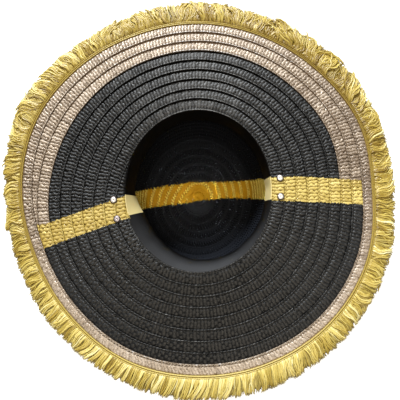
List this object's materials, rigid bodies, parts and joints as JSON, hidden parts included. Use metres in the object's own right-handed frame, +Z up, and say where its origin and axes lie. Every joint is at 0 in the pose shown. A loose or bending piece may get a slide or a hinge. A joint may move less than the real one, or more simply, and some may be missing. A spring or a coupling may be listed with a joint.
{
  "type": "straw hat",
  "caption": "Wide-brimmed hat sewn from flat straw braid, with a flat-topped crown, an inner sweatband, small rivets and a fringed edge, lying upside down on its crown.",
  "frame": {"origin": "middle of the outer face of the crown's flat tip, on which the hat lies upside down", "axes": "+Z up, from the crown's tip towards the head opening; Y along the head opening's long axis, front to back; X across it, along the gold stripe"},
  "size_m": [0.4568, 0.4675, 0.12],
  "materials": {
    "straw": "black sewn straw braid with a slight sheen",
    "sweatband": "black satin ribbon",
    "trim": "woven gold heading tape",
    "fringe": "glossy gold raffia strands",
    "rivets": "smooth nickel-plated steel"
  },
  "bodies": {
    "root": {"crown": "straw", "brim": "straw", "sweatband": "sweatband", "fringe_header": "trim", "fringe": "fringe", "rivet_right_back": "rivets", "rivet_right_front": "rivets", "rivet_left_back": "rivets", "rivet_left_front": "rivets"}
  },
  "joints": []
}
